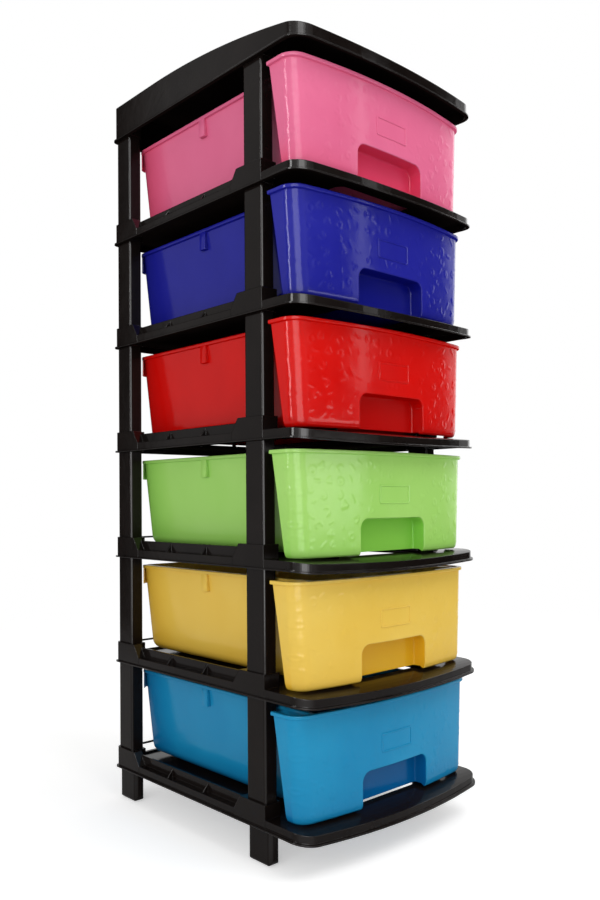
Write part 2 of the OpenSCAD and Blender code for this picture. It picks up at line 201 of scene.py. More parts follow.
def faced(mesh, axis, split=False):
    """The mesh with its normals outward: the face that lies lowest along axis looks down that axis.

    split turns faces with more than four corners into triangles."""
    bm = bmesh.new()
    bm.from_mesh(mesh)
    loose = [v for v in bm.verts if not v.link_faces]
    bmesh.ops.delete(bm, geom=loose, context="VERTS")
    if split:
        bmesh.ops.triangulate(bm, faces=[f for f in bm.faces if len(f.verts) > 4])
    bmesh.ops.recalc_face_normals(bm, faces=bm.faces)
    lowest = min(bm.faces, key=lambda f: f.calc_center_median()[axis])
    if lowest.normal[axis] > 0:
        bmesh.ops.reverse_faces(bm, faces=bm.faces)
    bm.to_mesh(mesh)
    bm.free()
    return mesh


def joined(meshes, name):
    bm = bmesh.new()
    for mesh in meshes:
        bm.from_mesh(mesh)
    result = bpy.data.meshes.new(name)
    bm.to_mesh(result)
    bm.free()
    return result


def smooth(mesh):
    """Shade smooth, but for edges that turn by more than 35 degrees."""
    for poly in mesh.polygons:
        poly.use_smooth = True
    mesh.set_sharp_from_angle(angle=math.radians(35))


def swept(path, profile):
    """Closed profile of (outward, upward) offsets carried along an open, level path of (x, y, z) points.

    Outward is to the right of the path's direction of travel."""
    up = Vector((0, 0, 1))
    verts, faces = [], []
    n, m = len(path), len(profile)
    pts = [Vector(p) for p in path]
    for i, p in enumerate(pts):
        before = pts[max(0, i - 1)]
        after = pts[min(n - 1, i + 1)]
        d1, d2 = (p - before), (after - p)
        d1 = d1.normalized() if d1.length else d2.normalized()
        d2 = d2.normalized() if d2.length else d1
        direction = (d1 + d2).normalized()
        out = direction.cross(up).normalized()
        stretch = 1 / max(0.5, out.dot(d1.cross(up).normalized()))
        for a, b in profile:
            verts.append(p + out * a * stretch + up * b)
    for i in range(n - 1):
        for j in range(m):
            a, b = i * m + j, i * m + (j + 1) % m
            faces.append((a, b, b + m, a + m))
    faces.append(tuple(range(m - 1, -1, -1)))
    faces.append(tuple((n - 1) * m + j for j in range(m)))
    return mesh_from(verts, faces)


# ---------------------------------------------------------------- the front of a drawer
SLOT_EDGE = SLOT_HALF + SLOT_FILLET
LOW_Z = -HEAD_DROP
# Rounded lower edge of the front: how high it begins, and how far it draws in
FOOT_R = 10 * MM
FOOT_IN = 3.2 * MM
# Edges of the front that turn by more than this are bevelled
SHARP = math.radians(55)
# Cells of the front's mesh, finer around the arch of the handle opening, and of the rim and label border
CELL = 1.5 * MM
ARCH_CELL = 1.2 * MM
RIM_CELL = 8 * MM
LABEL_CELL = 6 * MM
SIDE_STEPS = 12
FILLET_STEPS = 5
# Loops of the recess between its two fillets, as shares of the way in
TUNNEL_LOOPS = (0.1, 0.35, 0.7)
# The lower ends of the recess rise to the tub's floor, and the rise fades out over this height
RISE_REACH = 20 * MM


def spread(a, b, cell=CELL):
    """Values from a up to, but without, b, about one cell apart."""
    n = max(1, round((b - a) / cell))
    return [a + (b - a) * i / n for i in range(n)]


def head_columns():
    """Places of the mesh's columns on the right half, from x = 0 to the tangent of the corner."""
    arch_x = SLOT_EDGE - SLOT_R - SLOT_FILLET
    middle = spread(0, arch_x) + spread(arch_x, SLOT_EDGE, ARCH_CELL)
    return middle + spread(SLOT_EDGE, TANGENT_X) + [TANGENT_X]


def head_rows():
    """Heights of the mesh's rows."""
    top_z = SLOT_H + SLOT_FILLET
    arch_z = top_z - SLOT_R - SLOT_FILLET
    lower = spread(LOW_Z, arch_z) + spread(arch_z, top_z, ARCH_CELL)
    return lower + spread(top_z, HEAD_TOP) + [HEAD_TOP]


def arch_corner(x, z, grow):
    """Half width, height and corner radius of the handle opening grown by grow, then how far (x, z)
    lies outward and upward from the centre of the corner's arc."""
    w, h, r = SLOT_HALF + grow, SLOT_H + grow, SLOT_R + grow
    return w, h, r, abs(x) - (w - r), z - (h - r)


def in_arch(x, z, grow):
    """How far (x, z) lies outside the handle opening grown by grow; negative inside."""
    w, h, r, dx, dz = arch_corner(x, z, grow)
    if dx > 0 and dz > 0:
        return math.hypot(dx, dz) - r
    return max(abs(x) - w, z - h)


def snapped_to_arch(x, z):
    """Nearest point on the outer edge of the fillet around the handle opening."""
    w, h, r, dx, dz = arch_corner(x, z, SLOT_FILLET)
    side = math.copysign(1, x)
    if dx > 0 and dz > 0:
        k = r / math.hypot(dx, dz)
        return side * (w - r + dx * k), h - r + dz * k
    if abs(x) - w > z - h:
        return side * w, z
    return x, h


def into_arch(p):
    """Direction in the X-Z plane from a point on that edge to the inside of the opening."""
    dx, dz = arch_corner(p.x, p.z, SLOT_FILLET)[3:]
    if dx > 0 and dz > 0:
        n = Vector((dx, 0, dz)).normalized()
    elif dx > dz:
        n = Vector((1, 0, 0))
    else:
        n = Vector((0, 0, 1))
    return Vector((-n.x * math.copysign(1, p.x), 0, -n.z))


# Generic relief motifs: rings, bars, arcs, petals and dots, scattered by a seeded generator
MOTIFS = 95
MOTIF_TRIES = 4000
MOTIF_KINDS = ("ring", "bar", "arc", "petal", "dots")
# In millimetres: how far out the motifs lie, between which heights, and their sizes
MOTIF_OUT = 150
MOTIF_HEIGHTS = (6, 112)
MOTIF_SIZES = (3.2, 6.0)
MOTIF_GAP = 3 * MM
MOTIF_WIDTH = 1.8 * MM
MOTIF_REACH = 9 * MM
RELIEF = 0.27 * MM
# Beyond this x the layout of the relief is carried on around the corner, by a share of the depth
WRAP_X = 139 * MM
WRAP_SHARE = 0.4


def scatter_motifs(seed):
    """Motifs as (x, z, size, angle, kind), clear of each other, the handle opening and the label."""
    rng = random.Random(seed)
    placed = []
    tries = 0
    while len(placed) < MOTIFS and tries < MOTIF_TRIES:
        tries += 1
        x = rng.uniform(-MOTIF_OUT, MOTIF_OUT) * MM
        z = rng.uniform(*MOTIF_HEIGHTS) * MM
        size = rng.uniform(*MOTIF_SIZES) * MM
        if in_arch(x, z, MOTIF_GAP) < size:
            continue
        if abs(x) < LABEL_W / 2 + size and LABEL_Z - size < z < LABEL_Z + LABEL_H + size:
            continue
        if any(math.hypot(x - m[0], z - m[1]) < size + m[2] + MOTIF_GAP for m in placed):
            continue
        placed.append((x, z, size, rng.uniform(0, 2 * math.pi), rng.choice(MOTIF_KINDS)))
    return placed


def motif_height(x, z, motif):
    """Relief of one motif at (x, z), from 0 to 1."""
    mx, mz, size, angle, kind = motif
    dx, dz = x - mx, z - mz
    if dx * dx + dz * dz > (size + 2 * MOTIF_WIDTH) ** 2:
        return 0.0
    u = dx * math.cos(angle) + dz * math.sin(angle)
    v = -dx * math.sin(angle) + dz * math.cos(angle)
    r = math.hypot(u, v)
    if kind == "ring":
        d = abs(r - size * 0.75)
    elif kind == "bar":
        d = math.hypot(max(0, abs(u) - size * 0.8), v)
    elif kind == "arc":
        d = abs(r - size * 0.8) if v > -0.2 * size else math.hypot(abs(u) - size * 0.78, v + 0.2 * size)
    elif kind == "petal":
        d = max(0.0, r - size * (0.35 + 0.6 * abs(math.cos(1.5 * math.atan2(v, u)))))
    else:
        d = min(math.hypot(u - s * size * 0.6, v) for s in (-1, 0, 1)) * 1.2
    return max(0.0, 1 - (d / MOTIF_WIDTH) ** 2)


def foot_inset(z):
    """How far the rounded lower edge of the front draws in at height z."""
    down = max(0.0, (FOOT_R - HEAD_DROP - z) / FOOT_R)
    return FOOT_IN * (1 - math.sqrt(max(0.0, 1 - down ** 2)))


def front_y(x, z):
    """Depth of the bowed front at (x, z)."""
    low = 1 - z / DRAWER_H
    face = HEAD_FRONT + RIM_OUT + HEAD_FRONT_LEAN * low + foot_inset(z)
    return BOW_Y - math.sqrt((BOW_Y - face) ** 2 - x * x)


def front_sheet():
    """Vertices of the outer sheet of the front wall and wings, and their numbers row by row."""
    columns = head_columns()
    verts, grid = [], []
    for z in head_rows():
        t = (z - LOW_Z) / (DRAWER_H - RIM_H - LOW_Z)
        y_end = WING_Y - WING_BACK - WING_SLOPE * (1 - min(1, t))
        outline = mirrored(head_half_outline(z, -foot_inset(z), columns, SIDE_STEPS, y_end))
        grid.append([len(verts) + i for i in range(len(outline))])
        verts += [Vector((x, y, z)) for x, y in outline]
    return verts, grid


def raise_motifs(verts, grid, motifs):
    """Push the relief out along the normal of the outline."""
    for row in grid:
        base = [verts[i].copy() for i in row]
        for k, i in enumerate(row):
            p = base[k]
            along = p.x
            if abs(p.x) >= WRAP_X:
                along = math.copysign(WRAP_X + (p.y - HEAD_FRONT) * WRAP_SHARE, p.x)
            near = (m for m in motifs if abs(m[1] - p.z) < MOTIF_REACH)
            height = max((motif_height(along, p.z, m) for m in near), default=0.0)
            if height:
                a, b = base[max(0, k - 1)], base[min(len(row) - 1, k + 1)]
                out = (b - a).cross(Vector((0, 0, 1))).normalized()
                verts[i] = p + out * RELIEF * height


def faces_around_arch(verts, grid):
    """Cells of the sheet, without those inside the handle opening."""
    faces = []
    for lower, upper in zip(grid, grid[1:]):
        for c in range(len(lower) - 1):
            quad = (lower[c], lower[c + 1], upper[c + 1], upper[c])
            mid = sum((verts[i] for i in quad), Vector()) / 4
            if in_arch(mid.x, mid.z, SLOT_FILLET) >= 0:
                faces.append(quad)
    return faces


def arch_ring(verts, faces):
    """Vertices around the handle opening, from its lower left end over the arch to its lower right end."""
    used = {pair for quad in faces for pair in zip(quad, quad[1:] + quad[:1])}
    following = {a: b for a, b in used if (b, a) not in used}
    leading = {b: a for a, b in following.items()}

    def lower_end(side):
        lowest = [v for v in following if abs(verts[v].z - LOW_Z) < 1e-6 and verts[v].x * side > 0]
        return min(lowest, key=lambda v: abs(abs(verts[v].x) - SLOT_EDGE))

    def walk(step):
        run = [left]
        while run[-1] != right:
            run.append(step[run[-1]])
        return run

    left, right = lower_end(-1), lower_end(1)
    return min(walk(following), walk(leading), key=len)


def add_recess(verts, faces, ring):
    """Fillet, tunnel and back wall of the handle recess, as loops inside the ring around its opening."""
    back_y = HEAD_FRONT + SLOT_D
    tunnel_end = back_y - SLOT_BACK_R
    loops = [ring]

    def add_loop(offset, y_of, lift=1.0):
        """One more loop inside the opening; its lower ends rise by lift of the drop, up to the floor."""
        ids = []
        for v in ring:
            p = verts[v]
            q = p + into_arch(p) * offset
            up = lift * HEAD_DROP * max(0.0, 1 - (p.z - LOW_Z) / RISE_REACH)
            ids.append(len(verts))
            verts.append(Vector((q.x, y_of(p), q.z + up)))
        loops.append(ids)

    for i in range(1, FILLET_STEPS + 1):
        a = math.pi / 2 * i / FILLET_STEPS
        add_loop(SLOT_FILLET * math.sin(a), lambda p, d=SLOT_FILLET * (1 - math.cos(a)): p.y + d, 0.0)
    for t in TUNNEL_LOOPS:
        add_loop(
            SLOT_FILLET,
            lambda p, t=t: p.y + SLOT_FILLET + (tunnel_end - p.y - SLOT_FILLET) * t,
            min(1.0, t / TUNNEL_LOOPS[1]),
        )
    for i in range(0, FILLET_STEPS + 1):
        a = math.pi / 2 * i / FILLET_STEPS
        add_loop(SLOT_FILLET + SLOT_BACK_R * (1 - math.cos(a)),
                 lambda p, s=math.sin(a): back_y - SLOT_BACK_R * (1 - s))
    for a, b in zip(loops, loops[1:]):
        for i in range(len(ring) - 1):
            faces.append((a[i], a[i + 1], b[i + 1], b[i]))
    faces.append(tuple(loops[-1]))


def head_mesh(motifs):
    """Front wall, wings and handle recess of a drawer, as one sheet that is then given its thickness."""
    verts, grid = front_sheet()
    raise_motifs(verts, grid, motifs)
    faces = faces_around_arch(verts, grid)
    ring = arch_ring(verts, faces)
    for v in ring:
        x, z = snapped_to_arch(verts[v].x, verts[v].z)
        verts[v] = Vector((x, front_y(x, z), z))
    add_recess(verts, faces, ring)
    wall = dict(thickness=WALL, offset=-1.0, use_even_offset=True, use_quality_normals=True)
    edges = dict(width=HEAD_EDGE, segments=2, limit_method="ANGLE", angle_limit=SHARP)
    return evaluated(faced(mesh_from(verts, faces), 1), ("SOLIDIFY", wall), ("BEVEL", edges))


# ---------------------------------------------------------------- the tub, its rim, lip, tabs and label
def join_y(x):
    """Depth at which the tub ends at x, inside the front wall."""
    return BOW_Y - math.sqrt((BOW_Y - HEAD_FRONT - RIM_OUT - JOIN) ** 2 - x ** 2)


def body_mesh():
    """Floor, sides and back of a drawer, open at the top; it ends inside the front wall."""
    steps = 6
    turns = [math.pi / 2 * i / steps for i in range(steps + 1)]
    levels = [(FLOOR_EDGE * (1 - math.cos(a)), FLOOR_EDGE * (1 - math.sin(a))) for a in turns]
    levels += [(FLOOR_EDGE + (BODY_TOP - FLOOR_EDGE) * i / steps, 0) for i in range(1, steps + 1)]
    rings = []
    for z, inset in levels:
        low = 1 - z / DRAWER_H
        half = BODY_HALF - RIM_OUT - BODY_SIDE_LEAN * low - inset
        back = BODY_BACK - RIM_OUT - BODY_BACK_LEAN * low - inset
        r = max(BODY_CORNER_R - RIM_OUT - inset, FLOOR_CORNER_R)
        rings.append([(x, y, z) for x, y in body_outline(half, back, r, join_y(half), 10)])
    count = len(rings[0])
    verts = [Vector(p) for ring in rings for p in ring]
    faces = []
    for i in range(len(rings) - 1):
        for j in range(count - 1):
            a = i * count + j
            faces.append((a, a + 1, a + count + 1, a + count))
    # The floor, with a notch for the handle recess
    notch_x = SLOT_HALF + JOIN
    notch_y = HEAD_FRONT + SLOT_D + JOIN
    right = verts[count - 1].x
    edge = [(x, join_y(x)) for x in (right * 0.85, right * 0.7, notch_x + 1 * MM)]
    edge += [(notch_x, edge[-1][1]), (notch_x, notch_y)]
    edge += [(-x, y) for x, y in reversed(edge)]
    start = len(verts)
    verts += [Vector((x, y, 0)) for x, y in edge]
    faces.append((*range(count - 1, -1, -1), *range(start + len(edge) - 1, start - 1, -1)))
    wall = dict(thickness=WALL, offset=-1.0, use_even_offset=True)
    return evaluated(faced(mesh_from(verts, faces), 2, split=True), ("SOLIDIFY", wall))


def rounded_profile(x0, x1, z0, z1, r, steps=4):
    """Counter-clockwise rectangle with rounded corners."""
    centres = ((x1 - r, z0 + r), (x1 - r, z1 - r), (x0 + r, z1 - r), (x0 + r, z0 + r))
    points = []
    for (cx, cz), a0 in zip(centres, (-90, 0, 90, 180)):
        for i in range(steps + 1):
            a = math.radians(a0 + 90 * i / steps)
            points.append((cx + r * math.cos(a), cz + r * math.sin(a)))
    return points


def rim_meshes():
    """Rolled rim of the head and of the tub."""
    profile = rounded_profile(-(RIM_OUT + WALL + RIM_IN), 0, -RIM_H, 0, RIM_R)
    columns = [*spread(0, TANGENT_X, RIM_CELL), TANGENT_X]
    head = mirrored(head_half_outline(DRAWER_H, RIM_OUT, columns, 4, WING_Y))
    body = rim_outline(0, HEAD_FRONT + BODY_RIM_START)
    return [swept([(x, y, DRAWER_H) for x, y in line], profile) for line in (head, reversed(body))]


def lip_mesh():
    """Lip that hangs from the rim around the back."""
    line = [(x, y) for x, y in rim_outline(LIP_INSET, HEAD_FRONT) if y >= BODY_BACK - LIP_REACH]
    path = [(x, y, DRAWER_H - RIM_HOLD) for x, y in reversed(line)]
    profile = rounded_profile(-LIP_T, 0, -(LIP_H - RIM_HOLD), 0, LIP_EDGE_R, 2)
    return swept(path, profile)


def tab_meshes():
    """Wedge under the rim at each side."""
    y1 = BODY_BACK - TAB_FROM_BACK
    y0 = y1 - TAB_W
    outer = BODY_HALF - LIP_INSET
    faces = [(0, 3, 2, 1), (4, 5, 6, 7), (0, 1, 5, 4), (1, 2, 6, 5), (2, 3, 7, 6), (3, 0, 4, 7)]
    edges = dict(width=TAB_EDGE, segments=2)
    meshes = []
    for side in (-1, 1):
        verts = []
        for z in (DRAWER_H - LIP_H, DRAWER_H - RIM_HOLD):
            inner = BODY_HALF - RIM_OUT - WALL / 2 - BODY_SIDE_LEAN * (1 - z / DRAWER_H)
            verts += [(side * x, y, z) for x, y in ((inner, y0), (outer, y0), (outer, y1), (inner, y1))]
        meshes.append(evaluated(faced(mesh_from(verts, faces), 2), ("BEVEL", edges)))
    return meshes


def label_mesh():
    """Raised border of the bare label field, which follows the bowed front."""
    x1 = LABEL_W / 2 - LABEL_BORDER / 2
    z0, z1 = LABEL_Z + LABEL_BORDER / 2, LABEL_Z + LABEL_H - LABEL_BORDER / 2
    line = rounded_profile(-x1, x1, z0, z1, LABEL_R, 3)
    dense = []
    for (xa, za), (xb, zb) in zip(line, line[1:] + line[:1]):
        n = max(1, round(math.hypot(xb - xa, zb - za) / LABEL_CELL))
        dense += [(xa + (xb - xa) * i / n, za + (zb - za) * i / n) for i in range(n)]
    # Across the border: (sideways, depth against the front)
    edge = LABEL_BORDER / 2
    crown = [(-edge, LABEL_SUNK), (-edge, -LABEL_PROUD * 0.5), (-LABEL_BORDER * 0.3, -LABEL_PROUD * 0.92)]
    crown += [(0, -LABEL_PROUD), *((-a, b) for a, b in reversed(crown))]
    verts, faces = [], []
    n, m = len(dense), len(crown)
    for i, (x, z) in enumerate(dense):
        xa, za = dense[i - 1]
        xb, zb = dense[(i + 1) % n]
        d = Vector((xb - xa, zb - za)).normalized()
        out = Vector((d.y, -d.x))
        for a, b in crown:
            px, pz = x + out.x * a, z + out.y * a
            verts.append((px, front_y(px, pz) + b, pz))
    for i in range(n):
        for j in range(m - 1):
            a, b = i * m + j, ((i + 1) % n) * m + j
            faces.append((a, b, b + 1, a + 1))
    return faced(mesh_from(verts, faces), 1)


# Painted shade: a per-vertex attribute that darkens the drawers in the handle recess, low on the tub and at
# its back
PAINTED_SHADE = "painted_shade"
# How far the painted shade reaches from the floor and from the back, and how strong it is there
SHADE_FROM_FLOOR = 34 * MM
SHADE_AT_FLOOR = 0.7
SHADE_FROM_BACK = 80 * MM
SHADE_AT_BACK = 0.75
# Over this depth behind the front the painted shade of the floor is weakened by a factor
SHADE_START = 30 * MM
SHADE_IN_FRONT = 0.35


def add_painted_shade(mesh):
    """Per-vertex painted shade: 1 inside the handle recess, and a fade up from the floor and away from the
    back.
    """
    tone = mesh.attributes.new(PAINTED_SHADE, "FLOAT", "POINT")
    for v, value in zip(mesh.vertices, tone.data):
        x, y, z = v.co
        fade = max(0.0, 1 - z / SHADE_FROM_FLOOR) ** 1.5 * SHADE_AT_FLOOR
        rear = max(0.0, 1 - (BODY_BACK - y) / SHADE_FROM_BACK) * SHADE_AT_BACK
        behind = y - front_y(x, z) if abs(x) < SLOT_EDGE + WALL else 0.0
        if behind > WALL / 2 and y < HEAD_FRONT + SLOT_D + 0.5 * MM and in_arch(x, z, WALL) < 0:
            value.value = 1.0
        elif y > HEAD_FRONT + SHADE_START:
            value.value = max(fade, rear)
        else:
            value.value = SHADE_IN_FRONT * fade


# ---------------------------------------------------------------- materials
BUMP_DISTANCE = 4 * MM


class Nodes:
    """Small helper to write the node tree of a material or world as plain calls."""

    def __init__(self, owner, output="OutputMaterial"):
        owner.use_nodes = True
        self.tree = owner.node_tree
        self.tree.nodes.clear()
        self.out = self.add(output)

    def add(self, kind, settings=None, **inputs):
        """New node; an input is named with _ for a space and is a socket to link or a constant."""
        node = self.tree.nodes.new("ShaderNode" + kind)
        for key, value in (settings or {}).items():
            setattr(node, key, value)
        for key, value in inputs.items():
            socket = node.inputs[key.replace("_", " ")]
            if isinstance(value, bpy.types.NodeSocket):
                self.link(value, socket)
            else:
                socket.default_value = value
        return node

    def link(self, a, b):
        self.tree.links.new(a, b)

    def surface(self, socket):
        self.link(socket, self.out.inputs["Surface"])

    def mixed(self, factor, first, second):
        """Mix of two shaders: first where factor is 0, second where it is 1."""
        node = self.add("MixShader")
        for value, socket in zip((factor, first, second), node.inputs):
            self.link(value, socket)
        return node.outputs["Shader"]

    def place(self):
        return self.add("TexCoord").outputs["Object"]

    def noise(self, scale, detail, **inputs):
        node = self.add("TexNoise", None, Vector=self.place(), Scale=scale, Detail=detail, **inputs)
        return node.outputs["Fac"]

    def bump(self, height, strength, **inputs):
        node = self.add("Bump", None, Height=height, Strength=strength, Distance=BUMP_DISTANCE, **inputs)
        return node.outputs["Normal"]

    def clouds(self, value, dark, light):
        """Colour between dark and light, each given as (position, colour)."""
        ramp = self.add("ValToRGB", None, Fac=value)
        for stop, (position, colour) in zip(ramp.color_ramp.elements, (dark, light)):
            stop.position = position
            stop.color = colour
        return ramp.outputs["Color"]

    def mapped(self, value, source, target, **settings):
        """Value carried from the range source to the range target."""
        node = self.add("MapRange", settings, Value=value)
        for end, name in enumerate(("Min", "Max")):
            node.inputs["From " + name].default_value = source[end]
            node.inputs["To " + name].default_value = target[end]
        return node.outputs["Result"]

    def math(self, operation, *values):
        node = self.add("Math", dict(operation=operation))
        for value, socket in zip(values, node.inputs):
            self.link(value, socket)
        return node.outputs["Value"]

    def facing_up(self):
        """Z of the true normal: 1 on faces that look up, -1 on those that look down."""
        normal = self.add("NewGeometry").outputs["Normal"]
        return self.add("SeparateXYZ", None, Vector=normal).outputs["Z"]


def srgb(r, g, b):
    """Linear colour of an sRGB value from 0 to 255."""
    def lin(v):
        v /= 255
        return v / 12.92 if v <= 0.04045 else ((v + 0.055) / 1.055) ** 2.4
    return (lin(r), lin(g), lin(b), 1)


# Numbers of the colour sockets of a Mix node, whose names repeat
MIX_A, MIX_B, MIX_RESULT = 6, 7, 2
# Least and most roughness, and how strongly the drawers reflect
DRAWER_ROUGHNESS = (0.11, 0.19)
DRAWER_SHINE = 0.16
BLACK = (0.0095, 0.0067, 0.0058, 1)
BLACK_DEEP = (0.0060, 0.0040, 0.0034, 1)
BLACK_ROUGHNESS = (0.11, 0.20)
# How strongly the rounded edges and corners of the black pieces reflect, and their flat faces: painted
# highlight on the edges, painted shade on the flat faces
ROUNDED_SHINE = 0.30
FLAT_SHINE = 0.12
BLACK_EDGE_R = 1.2 * MM


def drawer_plastic(name, colour, deep, inner):
    """Glossy moulded plastic with faint flow marks between the tones colour and deep.

    The colour inner is painted shade, shown in the handle recess, low on the tub and at the back."""
    mat = bpy.data.materials.new(name)
    n = Nodes(mat)
    tone = n.clouds(n.noise(scale=9.0, detail=3.0), (0.3, deep), (0.7, colour))
    # Painted shade: the per-vertex attribute mixes the darker colour inner into the tone
    shade = n.add("Attribute", dict(attribute_name=PAINTED_SHADE))
    with_painted_shade = n.add("Mix", dict(data_type="RGBA"))
    n.link(shade.outputs["Fac"], with_painted_shade.inputs["Factor"])
    n.link(tone, with_painted_shade.inputs[MIX_A])
    with_painted_shade.inputs[MIX_B].default_value = inner
    # Painted shade in the reflections: the shine fades out on faces that look down, as the underside lies
    # just over its shelf
    shader = n.add(
        "BsdfPrincipled", None,
        Base_Color=with_painted_shade.outputs[MIX_RESULT],
        Roughness=n.mapped(n.noise(scale=70.0, detail=2.0), (0, 1), DRAWER_ROUGHNESS),
        Specular_IOR_Level=n.mapped(n.facing_up(), (-0.85, -0.35), (0, DRAWER_SHINE)),
        Normal=n.bump(n.noise(scale=26.0, detail=1.0), strength=0.10),
    )
    n.surface(shader.outputs["BSDF"])
    return mat


def black_plastic(name, top_shine=1.0):
    """Glossy black moulded plastic with softly rounded edges and faint moulding ripples.

    top_shine scales the shine of the faces that look straight up; below 1 it paints shade into their
    reflections."""
    mat = bpy.data.materials.new(name)
    n = Nodes(mat)
    edge = n.add("Bevel", dict(samples=6), Radius=BLACK_EDGE_R).outputs["Normal"]
    ripple = n.noise(scale=45.0, detail=2.0, Distortion=1.2)
    # Painted highlight and shade: flat faces are dulled, and rounded ones shine; the largest part of a
    # normal tells them apart
    rounded = n.add("SeparateXYZ", None, Vector=edge).outputs
    parts = [n.math("ABSOLUTE", rounded[axis]) for axis in "XYZ"]
    flatness = n.math("MAXIMUM", n.math("MAXIMUM", parts[0], parts[1]), parts[2])
    shine = n.mapped(flatness, (0.88, 0.975), (ROUNDED_SHINE, FLAT_SHINE))
    # Painted shade: the shine fades out on the undersides, which face the dark inside of the tower
    up = n.facing_up()
    from_below = n.mapped(up, (-0.8, -0.1), (0, 1))
    from_above = n.mapped(up, (0.6, 0.95), (1, top_shine))
    cloud = n.noise(scale=14.0, detail=4.0, Roughness=0.6)
    shader = n.add(
        "BsdfPrincipled", None,
        Base_Color=n.clouds(cloud, (0.35, BLACK_DEEP), (0.7, BLACK)),
        Roughness=n.mapped(n.noise(scale=60.0, detail=3.0), (0, 1), BLACK_ROUGHNESS),
        Specular_IOR_Level=n.math("MULTIPLY", n.math("MULTIPLY", shine, from_below), from_above),
        Normal=n.bump(ripple, strength=0.025, Normal=edge),
    )
    n.surface(shader.outputs["BSDF"])
    return mat


# ---------------------------------------------------------------- build the drawers
MOTIF_SEED = 7
# By level: slot, colour, the darker tone of its flow marks, and the painted shade of recess and floor
COLOURS = {
    1: ("azure_plastic", srgb(32, 144, 190), srgb(22, 132, 180), srgb(4, 96, 158)),
    2: ("yellow_plastic", srgb(235, 199, 92), srgb(230, 190, 78), srgb(236, 182, 36)),
    3: ("green_plastic", srgb(165, 214, 112), srgb(155, 208, 100), srgb(142, 214, 80)),
    4: ("red_plastic", srgb(214, 16, 10), srgb(200, 10, 6), srgb(202, 6, 3)),
    5: ("blue_plastic", srgb(36, 38, 150), srgb(28, 30, 138), srgb(18, 23, 134)),
    6: ("pink_plastic", srgb(229, 112, 150), srgb(221, 102, 141), srgb(234, 68, 106)),
}
drawer_parts = [head_mesh(scatter_motifs(MOTIF_SEED)), body_mesh()]
drawer_parts += [*rim_meshes(), lip_mesh(), *tab_meshes(), label_mesh()]
drawer_mesh = joined(drawer_parts, "drawer_shape")
smooth(drawer_mesh)
add_painted_shade(drawer_mesh)
for level, (slot_name, colour, deep, inner) in COLOURS.items():
    node = f"drawer_{level}"
    mesh = drawer_mesh.copy()
    mesh.materials.clear()
    mesh.materials.append(drawer_plastic(slot_name, colour, deep, inner))
    tub = new_object(f"tub_{level}", mesh)
    tub.location.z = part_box(node)[0].z + HEAD_DROP
    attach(tub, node)
    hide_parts(node)

# ---------------------------------------------------------------- the black tower keeps its CAD solids
black = black_plastic("tower_black")
# Painted shade: the cover's top reflects nothing
cover_black = black_plastic("cover_black", top_shine=0.0)
for name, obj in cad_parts.items():
    if not name.startswith("drawer_"):
        obj.data.materials.clear()
        obj.data.materials.append(cover_black if name == "top_cover" else black)

# ---------------------------------------------------------------- floor, world and lights
scene = bpy.context.scene
WHITE = (1, 1, 1, 1)
# Brightness of the world as a fill light, against 1 where it is seen
FILL = 0.55
# The floor: half its width, the distances over which it fades, and its own glow
FLOOR = 2.4
FLOOR_FADE_NEAR = FLOOR * 0.45
FLOOR_FADE_FAR = FLOOR * 0.95
FLOOR_GLOW = 0.45
FLOOR_PAINT = (0.86, 0.86, 0.86, 1)
CARD_PAINT = (0.01, 0.01, 0.01, 1)
PANEL_DISTANCE = 2.6
CARD_DISTANCE = 3.0


def white_world():
    """White for what is seen, directly or in a reflection, and a softer fill for what it lights."""
    world = bpy.data.worlds.new("studio")
    n = Nodes(world, "OutputWorld")
    fill, white = (n.add("Background", None, Color=WHITE, Strength=strength) for strength in (FILL, 1.0))
    ray = n.add("LightPath").outputs
    reflected = n.math("MAXIMUM", ray["Is Camera Ray"], ray["Is Glossy Ray"])
    seen = n.math("MAXIMUM", reflected, ray["Is Transmission Ray"])
    n.surface(n.mixed(seen, fill.outputs["Background"], white.outputs["Background"]))
    scene.world = world


def white_floor():
    """Pale floor that keeps the shadow, and fades into the white background away from the tower."""
    corners = [(-FLOOR, -FLOOR, 0), (FLOOR, -FLOOR, 0), (FLOOR, FLOOR, 0), (-FLOOR, FLOOR, 0)]
    obj = new_object("floor", mesh_from(corners, [(0, 1, 2, 3)], "floor"))
    mat = bpy.data.materials.new("floor_white")
    n = Nodes(mat)
    diffuse = n.add("BsdfDiffuse", None, Color=FLOOR_PAINT)
    # It glows for the camera alone
    glow = n.add("Emission", None, Color=WHITE, Strength=FLOOR_GLOW)
    dark = n.add("Emission", None, Strength=0.0)
    is_seen = n.add("LightPath").outputs["Is Camera Ray"]
    total = n.add("AddShader")
    n.link(diffuse.outputs["BSDF"], total.inputs[0])
    n.link(n.mixed(is_seen, dark.outputs["Emission"], glow.outputs["Emission"]), total.inputs[1])
    radius = n.add("VectorMath", dict(operation="LENGTH"))
    n.link(n.place(), radius.inputs[0])
    reach = (FLOOR_FADE_NEAR, FLOOR_FADE_FAR)
    fade = n.mapped(radius.outputs["Value"], reach, (0, 1), interpolation_type="SMOOTHSTEP")
    n.surface(n.mixed(fade, total.outputs["Shader"], n.add("BsdfTransparent").outputs["BSDF"]))
    obj.data.materials.append(mat)


def around(azimuth, distance, height):
    """Point around the tower; azimuth is in degrees from +Y towards +X."""
    a = math.radians(azimuth)
    return Vector((math.sin(a) * distance, math.cos(a) * distance, height))


